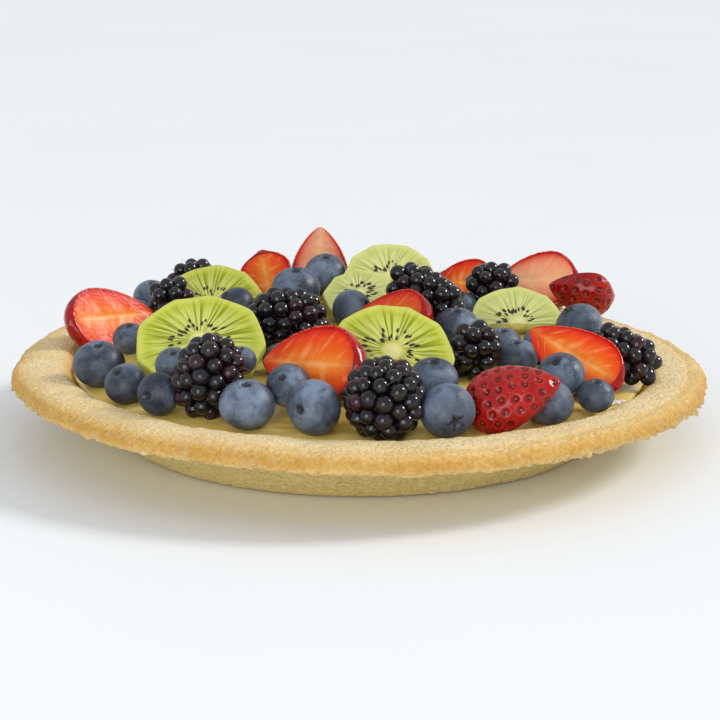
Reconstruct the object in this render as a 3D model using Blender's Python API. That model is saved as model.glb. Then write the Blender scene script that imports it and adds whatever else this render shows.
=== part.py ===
"""A fruit custard tart: a baked pastry shell, its custard filling and the fruit on top.

Lengths in this script are millimetres; add_solid scales them to metres. +Z is up, the
middle of the shell's flat base is the origin, and the front of the tart faces -Y.
Every fruit is shaped about its own centre, turned to face the way it lies, and then
lowered onto the custard or the fruit below it. The fruit stands in rings about the
middle, so the arrangement follows the shell's size.
"""
from math import cos, pi, radians, sin, sqrt, tau

import bmesh
import bpy
from mathutils import Matrix, Vector
from mathutils.bvhtree import BVHTree

MM = 0.001

# Pastry shell
RIM_RADIUS = 120.0          # outer edge of the rim
RIM_INNER_RADIUS = 102.0    # where the rim turns down into the shell
RIM_HEIGHT = 25.5           # top of the rim above the base
LIP_UNDERSIDE = 18.6        # underside of the overhanging lip
BASE_RADIUS = 84.5          # foot of the fluted wall
WALL_TOP_RADIUS = 100.5     # where the fluted wall meets the lip
FLOOR_THICKNESS = 4.0
PASTRY_STEPS = 80           # divisions round the rim
FLUTES = 120                # vertical flutes pressed into the wall by the pan
FLUTE_DEPTH = 0.7
FLUTE_FOOT = 1.2            # heights between which the flutes run
FLUTE_TOP = 17.4
LIP_WAVE = 0.35             # how far the baked lip strays outwards, and up or down
LIP_SWAY = 0.2
RIM_TILT = -0.01            # the baked rim stands a little higher on the -X side

# Custard
CUSTARD_LEVEL = 20.5        # height of the surface at the front edge
CUSTARD_CROWN = 6.0         # how much higher the middle is
CUSTARD_TILT = 0.018        # rise for each millimetre towards the back
CUSTARD_STEPS = 48
CUSTARD_EDGE = RIM_INNER_RADIUS - 3.2
CUSTARD_RINGS = (75.0, 40.0)    # rings that carry the curve of the surface

# Space left between pieces that rest on or in each other
GAP = 0.35

# Fruit
BLUEBERRY_STEPS = 8
BLUEBERRY_FLATNESS = 0.88   # height over width
CROWN_RADIUS = 0.34         # a blueberry's crown, as parts of its half-width and half-height
CROWN_TOP = 1.02
CROWN_DIMPLE = 0.84
BRAMBLE_COLUMNS = 12        # half of these stand proud in each row of drupelets
BRAMBLE_ROWS = 6
KIWI_STEPS = 20
KIWI_THICKNESS = 5.0
KIWI_CHAMFER = 1.2          # rounding of a slice's lower edge; the upper one is two thirds of it
STRAWBERRY_SHOULDER = 0.3   # where it is widest, as a part of its length
STRAWBERRY_DEPTH = 0.95     # depth of the rounded back, as a part of the half-width
STRAWBERRY_STATIONS = 7     # cross-sections between the two ends
STRAWBERRY_STEPS = 6        # divisions over the rounded back

RINGS = 12                  # places for the fruit, from the middle to the shell's inner edge
START_HEIGHT = 75.0         # fruit is lowered from here
DROP_STEP = 1.0
DROP_HALVINGS = 5


# ---------------------------------------------------------------- materials

def make_material(name, colour, roughness):
    """A plain, non-metallic finish."""
    material = bpy.data.materials.new(name)
    material.use_nodes = True
    shader = material.node_tree.nodes["Principled BSDF"]
    shader.inputs["Base Color"].default_value = (*colour, 1.0)
    shader.inputs["Roughness"].default_value = roughness
    shader.inputs["Metallic"].default_value = 0.0
    material.diffuse_color = (*colour, 1.0)
    return material


def make_materials():
    return {
        "crust": make_material("baked_pastry", (0.62, 0.42, 0.17), 0.75),
        "custard": make_material("custard", (0.66, 0.47, 0.14), 0.35),
        "blueberry": make_material("blueberry_skin", (0.045, 0.07, 0.14), 0.5),
        "bramble": make_material("bramble_drupelets", (0.012, 0.009, 0.014), 0.15),
        "kiwi": make_material("kiwi_flesh", (0.36, 0.47, 0.06), 0.3),
        "strawberry": make_material("strawberry_flesh", (0.62, 0.04, 0.02), 0.3),
    }


# ---------------------------------------------------------------- mesh helpers

def circle(bm, radius, height, steps, offset=lambda index: 0.0):
    """A ring of points; offset moves single points in or out."""
    ring = []
    for index in range(steps):
        angle = tau * index / steps
        reach = radius + offset(index)
        ring.append(bm.verts.new((reach * cos(angle), reach * sin(angle), height)))
    return ring


def join_rings(bm, lower, upper):
    """Faces between two rings, one of which may have a whole multiple of the other's points."""
    fine, coarse = (lower, upper) if len(lower) >= len(upper) else (upper, lower)
    ratio = len(fine) // len(coarse)
    for index in range(len(coarse)):
        start = index * ratio
        here, after = coarse[index], coarse[(index + 1) % len(coarse)]
        middle = ratio // 2
        if ratio == 1:
            bm.faces.new((fine[start], fine[(start + 1) % len(fine)], after, here))
            continue
        for step in range(ratio):
            first = fine[start + step]
            second = fine[(start + step + 1) % len(fine)]
            bm.faces.new((first, second, here if step <= middle else after))
        bm.faces.new((fine[start + middle + 1], after, here))


def turned_solid(bm, rings):
    """Closes a stack of rings into one body with a flat face on each end."""
    for lower, upper in zip(rings, rings[1:]):
        join_rings(bm, lower, upper)
    bm.faces.new(rings[0])
    bm.faces.new(rings[-1])


def finish_mesh(bm):
    bmesh.ops.recalc_face_normals(bm, faces=bm.faces)
    bmesh.ops.triangulate(bm, faces=bm.faces)
    return bm


def add_solid(name, bm, material):
    """Turns a finished mesh, in millimetres, into a named object in metres."""
    bm.transform(Matrix.Scale(MM, 4))
    mesh = bpy.data.meshes.new(name)
    bm.to_mesh(mesh)
    bm.free()
    mesh.materials.append(material)
    mesh.shade_smooth()
    mesh.set_sharp_from_angle(angle=pi / 4)
    solid = bpy.data.objects.new(name, mesh)
    bpy.context.scene.collection.objects.link(solid)
    return solid


# ---------------------------------------------------------------- shell and filling

def bake_warp(bm):
    """Tilts whatever stands above the floor, and makes the lip's edge a little uneven."""
    for vert in bm.verts:
        x, y, z = vert.co
        radius = sqrt(x * x + y * y)
        rise = min(max((z - FLOOR_THICKNESS - 1.0) / 15.0, 0.0), 1.0)
        vert.co.z += RIM_TILT * x * rise
        if radius > RIM_INNER_RADIUS:
            reach = (radius - RIM_INNER_RADIUS) / (RIM_RADIUS - RIM_INNER_RADIUS)
            turn = Vector((x, y)).angle_signed(Vector((1.0, 0.0)))
            wave = sin(5 * turn + 1.0) + 0.7 * sin(9 * turn) + 0.5 * sin(17 * turn + 2.0)
            vert.co.x += LIP_WAVE * wave * reach * x / radius
            vert.co.y += LIP_WAVE * wave * reach * y / radius
            vert.co.z += LIP_SWAY * reach * (sin(3 * turn) + sin(7 * turn + 2.0))


def make_crust(material):
    """The shell: a flat base, a fluted sloping wall and a wide, flat, overhanging rim."""
    bm = bmesh.new()

    def flute(index):
        return 0.0 if index % 2 else -FLUTE_DEPTH

    wall_foot = circle(bm, BASE_RADIUS, FLUTE_FOOT, 2 * FLUTES, flute)
    wall_top = circle(bm, WALL_TOP_RADIUS, FLUTE_TOP, 2 * FLUTES, flute)
    rim_profile = (
        (RIM_RADIUS - 12.0, LIP_UNDERSIDE - 0.2),
        (RIM_RADIUS - 1.5, LIP_UNDERSIDE),
        (RIM_RADIUS, LIP_UNDERSIDE + 2.0),
        (RIM_RADIUS - 0.5, RIM_HEIGHT - 2.3),
        (RIM_RADIUS - 2.6, RIM_HEIGHT - 0.9),
        (RIM_RADIUS - 9.0, RIM_HEIGHT),
        (RIM_INNER_RADIUS + 2.2, RIM_HEIGHT - 0.1),
        (RIM_INNER_RADIUS, RIM_HEIGHT - 1.0),
    )
    inside_profile = (
        (RIM_INNER_RADIUS - 3.0, CUSTARD_LEVEL - 1.0),
        (RIM_INNER_RADIUS - 5.0, CUSTARD_LEVEL - 3.5),
        (BASE_RADIUS - 3.5, FLOOR_THICKNESS + 1.0),
        (BASE_RADIUS - 7.5, FLOOR_THICKNESS),
    )
    rings = [circle(bm, BASE_RADIUS - 2.5, 0.0, PASTRY_STEPS), wall_foot, wall_top]
    rings += [circle(bm, r, z, PASTRY_STEPS) for r, z in rim_profile + inside_profile]
    turned_solid(bm, rings)
    bake_warp(bm)
    return add_solid("crust", finish_mesh(bm), material)


def custard_rise(radius, y):
    """How far the custard's surface stands above its front edge."""
    dome = CUSTARD_CROWN * (1.0 - (radius / CUSTARD_EDGE) ** 2)
    return dome + CUSTARD_TILT * (y + CUSTARD_EDGE)


def make_custard(material):
    """The filling: it fills the shell to just under the rim."""
    bm = bmesh.new()
    sides = (
        (BASE_RADIUS - 7.9, FLOOR_THICKNESS + GAP),
        (BASE_RADIUS - 3.9, FLOOR_THICKNESS + 1.0 + GAP),
        (RIM_INNER_RADIUS - 5.4, CUSTARD_LEVEL - 3.5 + GAP),
        (CUSTARD_EDGE, CUSTARD_LEVEL),
    )
    rings = [circle(bm, r, z, CUSTARD_STEPS) for r, z in sides]
    rings += [circle(bm, r, CUSTARD_LEVEL, CUSTARD_STEPS) for r in CUSTARD_RINGS]
    turned_solid(bm, rings)
    top = [face for face in bm.faces if set(face.verts) == set(rings[-1])]
    bmesh.ops.poke(bm, faces=top)
    for vert in bm.verts:
        if vert.co.z > CUSTARD_LEVEL - 0.01:
            vert.co.z += custard_rise(vert.co.xy.length, vert.co.y)
    bake_warp(bm)
    return add_solid("custard", finish_mesh(bm), material)


# ---------------------------------------------------------------- fruit
# Each fruit is made about its own centre. A blueberry's crown, a bramble's tip, a kiwi
# slice's cut face and a strawberry half's cut face point to +Z; a strawberry's tip is at +X.

def blueberry(width):
    """A slightly flattened ball whose crown is a raised ring round a dimple."""
    bm = bmesh.new()
    half = width / 2
    height = half * BLUEBERRY_FLATNESS
    rings = []
    for part in (1, 2, 3, 4):
        polar = pi * (1.0 - part / 5.2)
        rings.append(circle(bm, half * sin(polar), height * cos(polar), BLUEBERRY_STEPS))
    rings.append(circle(bm, half * CROWN_RADIUS, height * CROWN_TOP, BLUEBERRY_STEPS))
    turned_solid(bm, rings)
    for end, level in ((0, -height), (-1, height * CROWN_DIMPLE)):
        cap = [face for face in bm.faces if set(face.verts) == set(rings[end])]
        poked = bmesh.ops.poke(bm, faces=cap)
        poked["verts"][0].co.z = level
    return finish_mesh(bm)


def bramble(length, width):
    """Rows of drupelets: every other point of a ring stands proud, staggered row by row."""
    bm = bmesh.new()
    rings = []
    for row in range(BRAMBLE_ROWS):
        along = (row + 0.5) / BRAMBLE_ROWS * 2.0 - 1.0
        radius = width / 2 * (1.0 - abs(along) ** 2.6) ** 0.5
        bump = min(1.0, radius * 0.12)

        def proud(index, row=row, bump=bump):
            return bump if (index + row) % 2 else -bump

        rings.append(circle(bm, radius - bump, along * length / 2, BRAMBLE_COLUMNS, proud))
    turned_solid(bm, rings)
    return finish_mesh(bm)


def kiwi_slice(width, kept=1.0):
    """A round slice, not quite a true circle, with softened edges.

    kept trims it along a straight cut that far below its core, as a part of its radius.
    """
    bm = bmesh.new()

    def uneven(index):
        turn = tau * index / KIWI_STEPS
        return width * (0.012 * sin(2 * turn + 0.6) + 0.008 * sin(5 * turn))

    half = width / 2
    levels = ((half - KIWI_CHAMFER, -0.5), (half, 0.0), (half - KIWI_CHAMFER / 1.5, 0.5))
    rings = [circle(bm, r, level * KIWI_THICKNESS, KIWI_STEPS, uneven) for r, level in levels]
    turned_solid(bm, rings)
    if kept < 1.0:
        trim_below(bm, -kept * half)
    return finish_mesh(bm)


def trim_below(bm, level):
    """Cuts away what lies below y = level and closes the cut."""
    everything = list(bm.verts) + list(bm.edges) + list(bm.faces)
    cut = bmesh.ops.bisect_plane(
        bm, geom=everything, plane_co=(0, level, 0), plane_no=(0, -1, 0), clear_outer=True)
    edges = [item for item in cut["geom_cut"] if isinstance(item, bmesh.types.BMEdge)]
    bmesh.ops.contextual_create(bm, geom=edges)


def strawberry_outline(along):
    """Half-width of a strawberry, 0 to 1, from its calyx end (0) to its tip (1)."""
    if along < STRAWBERRY_SHOULDER:
        return sqrt(1.0 - (1.0 - along / STRAWBERRY_SHOULDER) ** 2)
    taper = (along - STRAWBERRY_SHOULDER) / (1.0 - STRAWBERRY_SHOULDER)
    return cos(pi / 2 * taper) ** 0.7


def strawberry_half(length, width):
    """A strawberry cut lengthwise: a flat face on +Z and a rounded back below it."""
    bm = bmesh.new()
    arcs = []
    for station in range(1, STRAWBERRY_STATIONS + 1):
        along = station / (STRAWBERRY_STATIONS + 1)
        half = width / 2 * strawberry_outline(along)
        arc = []
        for step in range(STRAWBERRY_STEPS + 1):
            angle = pi * step / STRAWBERRY_STEPS
            place = (length * (along - 0.5), half * cos(angle), -half * STRAWBERRY_DEPTH * sin(angle))
            arc.append(bm.verts.new(place))
        arcs.append(arc)
    ends = [bm.verts.new((-length / 2, 0, 0)), bm.verts.new((length / 2, 0, 0))]
    for near, far in zip(arcs, arcs[1:]):
        for step in range(STRAWBERRY_STEPS):
            bm.faces.new((near[step], near[step + 1], far[step + 1], far[step]))
        bm.faces.new((near[-1], near[0], far[0], far[-1]))
    for end, arc in zip(ends, (arcs[0], arcs[-1])):
        for step in range(STRAWBERRY_STEPS):
            bm.faces.new((end, arc[step], arc[step + 1]))
        bm.faces.new((end, arc[-1], arc[0]))
    return finish_mesh(bm)


# ---------------------------------------------------------------- arranging the fruit

def facing(direction, tip):
    """A turn that takes +Z to direction and +X as near to tip as it can."""
    up = Vector(direction).normalized()
    along = Vector(tip) - up * up.dot(Vector(tip))
    if along.length < 0.01:
        along = up.orthogonal()
    along.normalize()
    return Matrix((along, up.cross(along), up)).transposed().to_4x4()


def touches(bm, heap, place):
    """Whether the fruit cuts into the heap when its centre is at place."""
    moved = [vert.co + place for vert in bm.verts]
    faces = [[vert.index for vert in face.verts] for face in bm.faces]
    return bool(BVHTree.FromPolygons(moved, faces).overlap(heap))


def settle(bm, heap, x, y):
    """The height at which the fruit, lowered straight down at x, y, comes to rest."""
    bm.verts.index_update()
    clear = START_HEIGHT
    while not touches(bm, heap, Vector((x, y, clear - DROP_STEP))):
        clear -= DROP_STEP
    step = DROP_STEP
    for _ in range(DROP_HALVINGS):
        step /= 2
        if not touches(bm, heap, Vector((x, y, clear - step))):
            clear -= step
    return clear + GAP


def heap_of(meshes):
    """One search tree over every piece already in place."""
    points, faces = [], []
    for bm in meshes:
        bm.verts.index_update()
        first = len(points)
        points += [vert.co.copy() for vert in bm.verts]
        faces += [[first + vert.index for vert in face.verts] for face in bm.faces]
    return BVHTree.FromPolygons(points, faces)


SHAPES = {
    "blueberry": blueberry,
    "bramble": bramble,
    "kiwi_slice": kiwi_slice,
    "strawberry_half": strawberry_half,
}

# Sizes the fruit comes in: a blueberry's or a kiwi slice's width, and the length and width
# of a bramble or a strawberry half. A kiwi half slice also says how far below its core the
# straight cut is.
TINY, SMALL, MEDIUM, LARGE, HUGE = (10.5,), (12.5,), (14.5,), (16.5,), (18.0,)
FAT, TALL, STUBBY, BUD = (27.0, 24.5), (27.0, 21.5), (20.0, 17.0), (17.0, 14.0)
LONG, SLIM, SQUAT = (33.0, 18.0), (28.0, 16.0), (28.0, 22.0)
WIDE_SLICE, SLICE, NARROW_SLICE, END_SLICE = (43.0,), (40.0,), (35.0,), (27.0,)
HALF_SLICE, NARROW_HALF_SLICE = (40.0, 0.05), (35.0, 0.05)
FULL_BERRY, LONG_BERRY, SHORT_BERRY = (30.0, 23.5), (34.0, 23.0), (23.0, 20.5)
BIG_BERRY = (37.0, 25.5)

# Ways the fruit lies
ACROSS = (1, 0, 0)
UPRIGHT = (0, -0.3, 1)      # tipped a little to the front
PROPPED = (0, -0.6, 0.8)    # leaning back on what is behind it

# The fruit, lowest first: name, ring, turn, size, the way it faces and the way its tip points.
# Ring 12 is the shell's inner edge and a half is a place between two rings; the turn is in
# degrees from the front, to the right.
ARRANGEMENT = (
    # along the front edge, on the custard
    ("blueberry_01", 11, -68, HUGE, UPRIGHT, ACROSS),
    ("blueberry_03", 11, -43, MEDIUM, (-0.5, -0.8, 0.1), ACROSS),
    ("blueberry_05", 10.5, -23, HUGE, UPRIGHT, ACROSS),
    ("blueberry_07", 10.5, -9, HUGE, (-0.6, -0.8, 0.1), ACROSS),
    ("blueberry_09", 11, 17, HUGE, (0.3, -0.9, -0.2), ACROSS),
    ("blueberry_10", 11, 40, LARGE, UPRIGHT, ACROSS),
    ("blueberry_12", 11.5, 51, SMALL, UPRIGHT, ACROSS),
    ("bramble_07", 11, 73, SLIM, (0.8, -0.4, -0.4), ACROSS),
    ("blueberry_02", 11, -54, MEDIUM, (-0.4, -0.5, 0.8), ACROSS),
    # the two large kiwi slices and what props or flanks them
    ("blueberry_33", 5.5, 4, TINY, UPRIGHT, ACROSS),
    ("blueberry_32", 5, -38, SMALL, UPRIGHT, ACROSS),
    ("kiwi_slice_02", 6, 12, SLICE, (0.1, -0.6, 0.8), ACROSS),
    ("bramble_02", 10.5, 5, FAT, (0, -1, -0.2), ACROSS),
    ("kiwi_slice_01", 7.5, -56, WIDE_SLICE, (0, -0.5, 0.8), ACROSS),
    ("bramble_01", 10, -34, TALL, (-0.3, -0.1, -0.9), ACROSS),
    ("blueberry_04", 9.5, -48, SMALL, (0, -0.5, 0.9), ACROSS),
    ("blueberry_31", 7.5, -37, TINY, UPRIGHT, ACROSS),
    # the right-hand side, in front of a half slice that stands on its cut
    ("blueberry_13", 7, 64, MEDIUM, (-0.1, -0.3, 1), ACROSS),
    ("blueberry_14", 6, 76, MEDIUM, UPRIGHT, ACROSS),
    ("blueberry_15", 7.5, 82, MEDIUM, UPRIGHT, ACROSS),
    ("blueberry_16", 9.5, 103, HUGE, (-0.6, -0.2, 0.8), ACROSS),
    ("blueberry_17", 10.5, 93, MEDIUM, UPRIGHT, ACROSS),
    ("kiwi_slice_03", 7.5, 116, NARROW_HALF_SLICE, PROPPED, ACROSS),
    ("blueberry_18", 4, 90, HUGE, UPRIGHT, ACROSS),
    ("blueberry_19", 7.5, 143, SMALL, UPRIGHT, ACROSS),
    ("blueberry_21", 2.5, -174, LARGE, (0.8, -0.4, 0.4), ACROSS),
    # the left-hand side and its half slice
    ("blueberry_29", 9.5, -92, SMALL, UPRIGHT, ACROSS),
    ("blueberry_30", 6, -97, SMALL, UPRIGHT, ACROSS),
    ("blueberry_27", 12, -129, MEDIUM, UPRIGHT, ACROSS),
    ("blueberry_28", 11.5, -122, TINY, UPRIGHT, ACROSS),
    ("kiwi_slice_04", 8.5, -130, HALF_SLICE, (-0.1, -0.6, 0.8), (1, 0, 0.3)),
    ("bramble_08", 9.5, -120, BUD, (1, 0, 0.2), ACROSS),
    ("blueberry_26", 7, -130, MEDIUM, (-0.7, -0.3, 0.7), ACROSS),
    # second layer at the front
    ("strawberry_half_01", 8, -14, BIG_BERRY, (-0.6, -0.7, 0.4), (-0.8, 0.6, -0.1)),
    ("blueberry_06", 9, -17, MEDIUM, (-0.3, -0.7, 0.6), ACROSS),
    ("bramble_05", 6, 49, STUBBY, (-0.2, -0.3, -0.9), ACROSS),
    ("blueberry_11", 10, 50, LARGE, (-0.3, -0.5, 0.8), ACROSS),
    # the back and left edges, and the middle of the left side
    ("blueberry_20", 12.5, 160, SMALL, UPRIGHT, ACROSS),
    ("bramble_09", 12, -141, STUBBY, (1, 0, 0.2), ACROSS),
    ("strawberry_half_04", 10.5, -101, LONG_BERRY, (0.6, -0.6, 0.5), (0.7, 0.7, -0.1)),
    ("bramble_03", 3, -77, SQUAT, (1, 0, -0.1), ACROSS),
    # what leans on the front berries
    ("blueberry_08", 8.5, 19, LARGE, UPRIGHT, ACROSS),
    ("strawberry_half_02", 11, 32, FULL_BERRY, (0.5, 0.5, -0.7), (0.9, -0.3, 0.5)),
    ("strawberry_half_03", 9.5, 61, LONG_BERRY, (-0.1, -0.7, 0.7), (-0.8, 0.5, 0.4)),
    # the middle of the heap
    ("kiwi_slice_05", 7, 169, NARROW_SLICE, PROPPED, ACROSS),
    ("kiwi_slice_06", 5, 180, END_SLICE, (-0.1, -0.5, 0.9), ACROSS),
    ("blueberry_22", 3, -118, HUGE, UPRIGHT, ACROSS),
    ("strawberry_half_07", 1, 100, LONG_BERRY, (-0.6, -0.5, 0.6), (-0.7, 0.6, -0.2)),
    ("bramble_04", 3.5, 128, LONG, (0.8, -0.5, -0.4), ACROSS),
    # along the back, leaning on the rim and on each other
    ("strawberry_half_06", 10.5, -170, FULL_BERRY, (0.1, -0.9, 0.3), (0, 0.3, 0.9)),
    ("strawberry_half_05", 10, -155, SHORT_BERRY, (-0.2, -0.8, 0.5), (0.3, 0, -1)),
    ("blueberry_24", 9.5, -169, MEDIUM, UPRIGHT, ACROSS),
    ("blueberry_23", 8, -169, LARGE, UPRIGHT, ACROSS),
    ("blueberry_25", 12, -163, SMALL, UPRIGHT, ACROSS),
    ("strawberry_half_08", 11, 154, SHORT_BERRY, (0, -0.8, 0.6), (-1, 0, 0)),
    ("bramble_06", 9, 139, STUBBY, (1, 0, 0), ACROSS),
    ("strawberry_half_09", 12.5, 140, FULL_BERRY, (-0.2, -0.8, 0.6), (-1, 0, 0)),
    ("strawberry_half_10", 12.5, 128, SHORT_BERRY, (0.1, 0.8, 0.6), (-1, 0, 0.1)),
)


def standing_place(ring, turn):
    """The x and y of a place on a ring, turned that many degrees from the front."""
    reach = ring * RIM_INNER_RADIUS / RINGS
    return reach * sin(radians(turn)), -reach * cos(radians(turn))


def copy_in_millimetres(solid):
    """A copy of a solid's mesh, in millimetres, that the fruit can rest on."""
    bm = bmesh.new()
    bm.from_mesh(solid.data)
    bm.transform(Matrix.Scale(1.0 / MM, 4))
    return bm


def arrange_fruit(below, materials):
    """Shapes, turns and lowers each fruit in turn."""
    placed = [copy_in_millimetres(solid) for solid in below]
    for name, ring, turn, sizes, face, tip in ARRANGEMENT:
        kind = name.rstrip("0123456789").rstrip("_")
        x, y = standing_place(ring, turn)
        bm = SHAPES[kind](*sizes)
        bm.transform(facing(face, tip))
        height = settle(bm, heap_of(placed), x, y)
        bm.transform(Matrix.Translation((x, y, height)))
        placed.append(bm.copy())
        add_solid(name, bm, materials[kind.split("_")[0]])
    for bm in placed:
        bm.free()


def clear_scene():
    for item in list(bpy.data.objects):
        bpy.data.objects.remove(item, do_unlink=True)


def main():
    clear_scene()
    materials = make_materials()
    crust = make_crust(materials["crust"])
    custard = make_custard(materials["custard"])
    arrange_fruit((crust, custard), materials)


main()
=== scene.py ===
"""The looks of a fruit custard tart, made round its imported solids.

Every piece is shaped in millimetres in its own frame, as in the design: a blueberry's crown,
a bramble's tip and the cut faces point to +Z, and a strawberry's tip to +X. fit() finds that
frame, and the size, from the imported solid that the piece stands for.
"""

from math import cos, pi, radians, sin, tau

import bmesh
import bpy
import numpy as np
from mathutils import Matrix, Vector
from mathutils.bvhtree import BVHTree


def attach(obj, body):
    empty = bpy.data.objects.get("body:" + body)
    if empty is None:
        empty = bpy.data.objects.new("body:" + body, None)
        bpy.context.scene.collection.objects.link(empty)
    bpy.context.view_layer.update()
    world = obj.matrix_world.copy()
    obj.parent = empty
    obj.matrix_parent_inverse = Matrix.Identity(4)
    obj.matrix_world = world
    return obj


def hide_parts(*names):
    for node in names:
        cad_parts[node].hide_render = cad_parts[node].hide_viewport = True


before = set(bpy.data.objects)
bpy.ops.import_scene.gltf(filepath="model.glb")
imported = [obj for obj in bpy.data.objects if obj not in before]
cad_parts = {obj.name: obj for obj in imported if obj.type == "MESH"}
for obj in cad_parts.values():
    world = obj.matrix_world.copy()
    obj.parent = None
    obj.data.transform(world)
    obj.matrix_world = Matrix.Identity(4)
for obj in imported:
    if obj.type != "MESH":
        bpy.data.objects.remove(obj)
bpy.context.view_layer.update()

MM = 0.001

# Shell, as in the design
RIM_RADIUS = 120.0
RIM_INNER_RADIUS = 102.0
RIM_HEIGHT = 25.5
LIP_UNDERSIDE = 18.6
BASE_RADIUS = 84.5
WALL_TOP_RADIUS = 100.5
FLOOR_THICKNESS = 4.0
FLUTES = 120
FLUTE_DEPTH = 0.7
RIM_TILT = -0.01
LIP_WAVE = 0.35
LIP_SWAY = 0.2
CRUST_COLUMNS = 6 * FLUTES
CRUST_SPACING = 1.05        # distance between rows of the shell's mesh
GROOVE_INSET = 5.2          # of the crimped groove, from the rim's outer edge
GROOVE_WIDTH = 0.8
GROOVE_DEPTH = 0.5
CRUMBS = 170

# Custard; its surface here is CUSTARD_SWELL higher than the solid's, to close round the fruit
CUSTARD_LEVEL = 20.5
CUSTARD_CROWN = 6.0
CUSTARD_TILT = 0.018
CUSTARD_EDGE = RIM_INNER_RADIUS - 3.2
CUSTARD_SWELL = 0.7
CREAM_DABS = ((42, -90), (44, -91), (46, -90), (82, -50), (84, -49), (86, -47))

# Fruit
BERRY_FLATNESS = 0.88       # a blueberry's height over its width
STARRED = (9, 16, 19)       # blueberries whose dark five-pointed calyx is still whole
DRUPELET = 5.4              # a drupelet's width
BRAMBLE_FULLNESS = 1.2      # a bramble's length over that of its solid, whose ends are cut flat
CORE_INSETS = (3.0, 3.0, 2.8)   # from a bramble's outside in to the core under the drupelets
HAIR_SHARE = 0.6            # of the drupelets
HAIR_THICKNESS = 0.1
KIWI_THICKNESS = 5.0
KIWI_COLUMNS = 150          # of points round a slice
KIWI_RINGS = 36
KIWI_SEEDS = 40             # on each side of a slice
PALE_KIWIS = (3, 5, 6)
STRAWBERRY_SHOULDER = 0.3   # where it is widest, as a part of its length from the calyx
STRAWBERRY_DEPTH = 0.95     # of a half, over half of its width
SEED_SPACING = 3.8          # between a strawberry's seeds
PIT_REACH = 1.2             # from a seed to where its pit levels out
PIT_DEPTH = 0.75
PALE_STRAWBERRIES = (6, 9)
HEEL = 2.6                  # how far a strawberry's back reaches past the cut's calyx end
WELD_DISTANCE = 0.02
# How far the grain of a fruit's material is shifted from that of the fruit one number lower
SHIFTS = {"blueberry": 17.0, "bramble": 11.0, "kiwi_slice": 23.0, "strawberry_half": 31.0}

# Further toppings, widest first, and how often a place is tried for each width
FURTHER_BRAMBLES = (19.0, 17.0)
FURTHER_BLUEBERRIES = (17.0, 15.0, 13.0, 11.0, 9.0)
BRAMBLE_TRIES = 500
BLUEBERRY_TRIES = 1200
FURTHER_RADIUS = 92.0       # of the part of the custard they lie on
FURTHER_HEIGHT = 0.42       # of a centre over the custard, as a part of the topping's width
FURTHER_CLEARANCE = 0.46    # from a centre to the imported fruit, as a part of the width
FURTHER_SPACING = 0.47      # between two centres, as a part of both widths together

# The ways the fruit lies, as in the design: the way it faces and the way its tip points
ACROSS = (1, 0, 0)
USUAL_FACES = {"blueberry": (0, -0.3, 1), "kiwi_slice": (0, -0.6, 0.8)}
FACES = {
    "blueberry_02": (-0.4, -0.5, 0.8),
    "blueberry_03": (-0.5, -0.8, 0.1),
    "blueberry_04": (0, -0.5, 0.9),
    "blueberry_06": (-0.3, -0.7, 0.6),
    "blueberry_07": (-0.6, -0.8, 0.1),
    "blueberry_09": (0.3, -0.9, -0.2),
    "blueberry_11": (-0.3, -0.5, 0.8),
    "blueberry_13": (-0.1, -0.3, 1),
    "blueberry_16": (-0.6, -0.2, 0.8),
    "blueberry_21": (0.8, -0.4, 0.4),
    "blueberry_26": (-0.7, -0.3, 0.7),
    "bramble_01": (-0.3, -0.1, -0.9),
    "bramble_02": (0, -1, -0.2),
    "bramble_03": (1, 0, -0.1),
    "bramble_04": (0.8, -0.5, -0.4),
    "bramble_05": (-0.2, -0.3, -0.9),
    "bramble_06": (1, 0, 0),
    "bramble_07": (0.8, -0.4, -0.4),
    "bramble_08": (1, 0, 0.2),
    "bramble_09": (1, 0, 0.2),
    "kiwi_slice_01": (0, -0.5, 0.8),
    "kiwi_slice_02": (0.1, -0.6, 0.8),
    "kiwi_slice_04": (-0.1, -0.6, 0.8),
    "kiwi_slice_06": (-0.1, -0.5, 0.9),
    "strawberry_half_01": (-0.6, -0.7, 0.4),
    "strawberry_half_02": (0.5, 0.5, -0.7),
    "strawberry_half_03": (-0.1, -0.7, 0.7),
    "strawberry_half_04": (0.6, -0.6, 0.5),
    "strawberry_half_05": (-0.2, -0.8, 0.5),
    "strawberry_half_06": (0.1, -0.9, 0.3),
    "strawberry_half_07": (-0.6, -0.5, 0.6),
    "strawberry_half_08": (0, -0.8, 0.6),
    "strawberry_half_09": (-0.2, -0.8, 0.6),
    "strawberry_half_10": (0.1, 0.8, 0.6),
}
TIPS = {
    "kiwi_slice_04": (1, 0, 0.3),
    "strawberry_half_01": (-0.8, 0.6, -0.1),
    "strawberry_half_02": (0.9, -0.3, 0.5),
    "strawberry_half_03": (-0.8, 0.5, 0.4),
    "strawberry_half_04": (0.7, 0.7, -0.1),
    "strawberry_half_05": (0.3, 0, -1),
    "strawberry_half_06": (0, 0.3, 0.9),
    "strawberry_half_07": (-0.7, 0.6, -0.2),
    "strawberry_half_08": (-1, 0, 0),
    "strawberry_half_09": (-1, 0, 0),
    "strawberry_half_10": (-1, 0, 0.1),
}


# -------- shapes

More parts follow.
